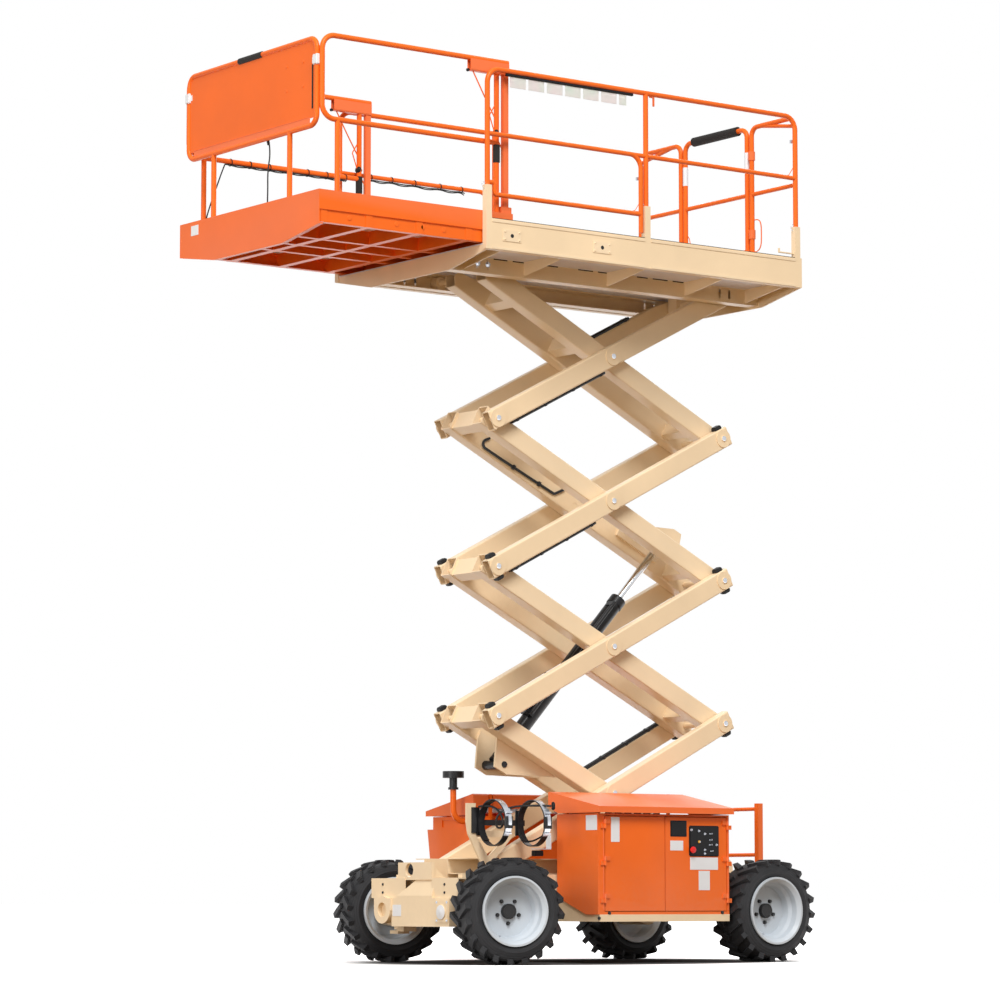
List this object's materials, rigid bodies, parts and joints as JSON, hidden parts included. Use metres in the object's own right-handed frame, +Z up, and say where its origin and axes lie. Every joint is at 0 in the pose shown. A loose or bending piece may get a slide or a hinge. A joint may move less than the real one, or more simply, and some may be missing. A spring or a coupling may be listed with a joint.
{
  "type": "rough-terrain scissor lift",
  "caption": "Self-propelled rough-terrain scissor lift, platform raised with its roll-out deck extended, steered wheels, side boxes and railed platform.",
  "frame": {"origin": "on the ground under the middle of the overall box", "axes": "+X forward, towards the roll-out deck; +Y to the left of the machine; +Z up"},
  "size_m": [3.906, 1.8912, 5.707],
  "materials": {
    "machine_beige": "gloss",
    "machine_orange": "gloss",
    "wheel_silver": "satin",
    "rubber_tyre": "matte",
    "black_steel": "satin",
    "chrome_rod": "gloss",
    "deck_plate": "satin",
    "hose_black": "satin",
    "foam_black": "matte"
  },
  "bodies": {
    "chassis": {"chassis_frame": "machine_beige", "front_axle": "machine_beige", "rear_axle": "machine_beige", "engine_box": "machine_orange", "engine_block": "black_steel", "tank_box": "machine_orange", "intake_pipe": "machine_orange", "intake_cap": "black_steel", "cradle_straps": "black_steel", "rear_ladder": "machine_orange"},
    "engine_hood_lid": {"engine_hood": "machine_orange"},
    "front_engine_door": {"engine_door_front": "machine_orange"},
    "rear_engine_door": {"engine_door_rear": "machine_orange"},
    "tank_box_lid": {"tank_lid": "machine_orange"},
    "steer_left": {"knuckle_left": "machine_beige"},
    "steer_right": {"knuckle_right": "machine_beige"},
    "lift_barrel": {"lift_barrel": "black_steel"},
    "lift_rod": {"lift_rod": "chrome_rod"},
    "platform": {"platform_frame": "machine_beige", "platform_floor": "deck_plate", "rail_left": "machine_orange", "rail_right": "machine_orange"},
    "entry_gate": {"gate": "machine_orange", "gate_grip": "foam_black"},
    "extension": {"extension_deck": "machine_orange", "extension_floor": "deck_plate", "extension_rail_left": "machine_orange", "extension_rail_right": "machine_orange", "front_rail": "machine_orange"},
    "outer_1": {"outer_arms_1": "machine_beige", "hoses_outer_1": "hose_black"},
    "inner_1": {"inner_arms_1": "machine_beige"},
    "outer_2": {"outer_arms_2": "machine_beige"},
    "inner_2": {"inner_arms_2": "machine_beige"},
    "outer_3": {"outer_arms_3": "machine_beige", "hoses_outer_3": "hose_black"},
    "inner_3": {"inner_arms_3": "machine_beige", "hose_inner_3": "hose_black"},
    "outer_4": {"outer_arms_4": "machine_beige", "hoses_outer_4_left": "hose_black", "hoses_outer_4_right": "hose_black"},
    "inner_4": {"inner_arms_4": "machine_beige"},
    "wheel_front_left": {"tyre_front_left": "rubber_tyre", "rim_front_left": "wheel_silver"},
    "wheel_front_right": {"tyre_front_right": "rubber_tyre", "rim_front_right": "wheel_silver"},
    "wheel_rear_left": {"tyre_rear_left": "rubber_tyre", "rim_rear_left": "wheel_silver"},
    "wheel_rear_right": {"tyre_rear_right": "rubber_tyre", "rim_rear_right": "wheel_silver"}
  },
  "joints": [
    {"name": "lift", "type": "hinge", "parent": "chassis", "child": "inner_1", "pos_m": [-1.667, 0, 0.616], "axis": [0, -1, 0], "range_deg": [-20.9, 29]},
    {"name": "centre_pin_1", "type": "hinge", "parent": "inner_1", "child": "outer_1", "pos_m": [-0.723, 0, 1.095], "axis": [0, 1, 0], "range_deg": [-41.9, 58.1]},
    {"name": "rear_pin_1", "type": "hinge", "parent": "outer_1", "child": "inner_2", "pos_m": [-1.667, 0, 1.574], "axis": [0, -1, 0], "range_deg": [-41.9, 58.1]},
    {"name": "centre_pin_2", "type": "hinge", "parent": "inner_2", "child": "outer_2", "pos_m": [-0.723, 0, 2.053], "axis": [0, 1, 0], "range_deg": [-41.9, 58.1]},
    {"name": "rear_pin_2", "type": "hinge", "parent": "outer_2", "child": "inner_3", "pos_m": [-1.667, 0, 2.532], "axis": [0, -1, 0], "range_deg": [-41.9, 58.1]},
    {"name": "centre_pin_3", "type": "hinge", "parent": "inner_3", "child": "outer_3", "pos_m": [-0.723, 0, 3.011], "axis": [0, 1, 0], "range_deg": [-41.9, 58.1]},
    {"name": "rear_pin_3", "type": "hinge", "parent": "outer_3", "child": "inner_4", "pos_m": [-1.667, 0, 3.49], "axis": [0, -1, 0], "range_deg": [-41.9, 58.1]},
    {"name": "centre_pin_4", "type": "hinge", "parent": "inner_4", "child": "outer_4", "pos_m": [-0.723, 0, 3.969], "axis": [0, 1, 0], "range_deg": [-41.9, 58.1]},
    {"name": "deck_pin", "type": "hinge", "parent": "outer_4", "child": "platform", "pos_m": [-1.667, 0, 4.448], "axis": [0, -1, 0], "range_deg": [-21, 29.1]},
    {"name": "lift_base_pin", "type": "hinge", "parent": "inner_1", "child": "lift_barrel", "pos_m": [0.03221, 0, 1.27075], "axis": [0, 1, 0], "range_deg": [-37.72, 52.3]},
    {"name": "lift_stroke", "type": "slide", "parent": "lift_barrel", "child": "lift_rod", "axis": [-0.6765, 0, 0.7364], "range_m": [-0.4762, 0.66]},
    {"name": "deck_extension", "type": "slide", "parent": "platform", "child": "extension", "axis": [1, 0, 0], "range_m": [-1.2, 0]},
    {"name": "gate_hinge", "type": "hinge", "parent": "platform", "child": "entry_gate", "pos_m": [-1.868, 0.378, 5], "axis": [0, 0, 1], "range_deg": [0, 100]},
    {"name": "hood_hinge", "type": "hinge", "parent": "chassis", "child": "engine_hood_lid", "pos_m": [-0.603, 0.324, 1.087], "axis": [1, 0, 0], "range_deg": [0, 60]},
    {"name": "tank_lid_hinge", "type": "hinge", "parent": "chassis", "child": "tank_box_lid", "pos_m": [-0.603, -0.324, 1.087], "axis": [-1, 0, 0], "range_deg": [0, 60]},
    {"name": "front_door_hinge", "type": "hinge", "parent": "chassis", "child": "front_engine_door", "pos_m": [-0.246, 0.808, 0.6], "axis": [0, 0, -1], "range_deg": [0, 100]},
    {"name": "rear_door_hinge", "type": "hinge", "parent": "chassis", "child": "rear_engine_door", "pos_m": [-1.255, 0.808, 0.6], "axis": [0, 0, 1], "range_deg": [0, 100]},
    {"name": "steer_left_kingpin", "type": "hinge", "parent": "chassis", "child": "steer_left", "pos_m": [0.412, 0.52, 0.3325], "axis": [0, 0, 1], "range_deg": [-7, 37]},
    {"name": "steer_right_kingpin", "type": "hinge", "parent": "chassis", "child": "steer_right", "pos_m": [0.412, -0.52, 0.3325], "axis": [0, 0, 1], "range_deg": [-7.1, 37.1]},
    {"name": "spin_front_left", "type": "hinge", "parent": "steer_left", "child": "wheel_front_left", "pos_m": [0.46609, 0.72188, 0.3325], "axis": [0.2588, 0.9659, 0], "continuous": true},
    {"name": "spin_front_right", "type": "hinge", "parent": "steer_right", "child": "wheel_front_right", "pos_m": [0.35791, -0.72188, 0.3325], "axis": [0.2588, 0.9659, 0], "continuous": true},
    {"name": "spin_rear_left", "type": "hinge", "parent": "chassis", "child": "wheel_rear_left", "pos_m": [-1.618, 0.729, 0.3325], "axis": [0, 1, 0], "continuous": true},
    {"name": "spin_rear_right", "type": "hinge", "parent": "chassis", "child": "wheel_rear_right", "pos_m": [-1.618, -0.729, 0.3325], "axis": [0, 1, 0], "continuous": true}
  ],
  "couplings": [
    {"joint": "centre_pin_1", "follows": "lift", "ratio": 2},
    {"joint": "rear_pin_1", "follows": "lift", "ratio": 2},
    {"joint": "centre_pin_2", "follows": "lift", "ratio": 2},
    {"joint": "rear_pin_2", "follows": "lift", "ratio": 2},
    {"joint": "centre_pin_3", "follows": "lift", "ratio": 2},
    {"joint": "rear_pin_3", "follows": "lift", "ratio": 2},
    {"joint": "centre_pin_4", "follows": "lift", "ratio": 2},
    {"joint": "deck_pin", "follows": "lift", "ratio": 1},
    {"joint": "lift_base_pin", "follows": "lift", "ratio": 1.8},
    {"joint": "lift_stroke", "follows": "lift", "m_per_rad": 1.3},
    {"joint": "steer_right_kingpin", "follows": "steer_left_kingpin", "ratio": 1}
  ]
}
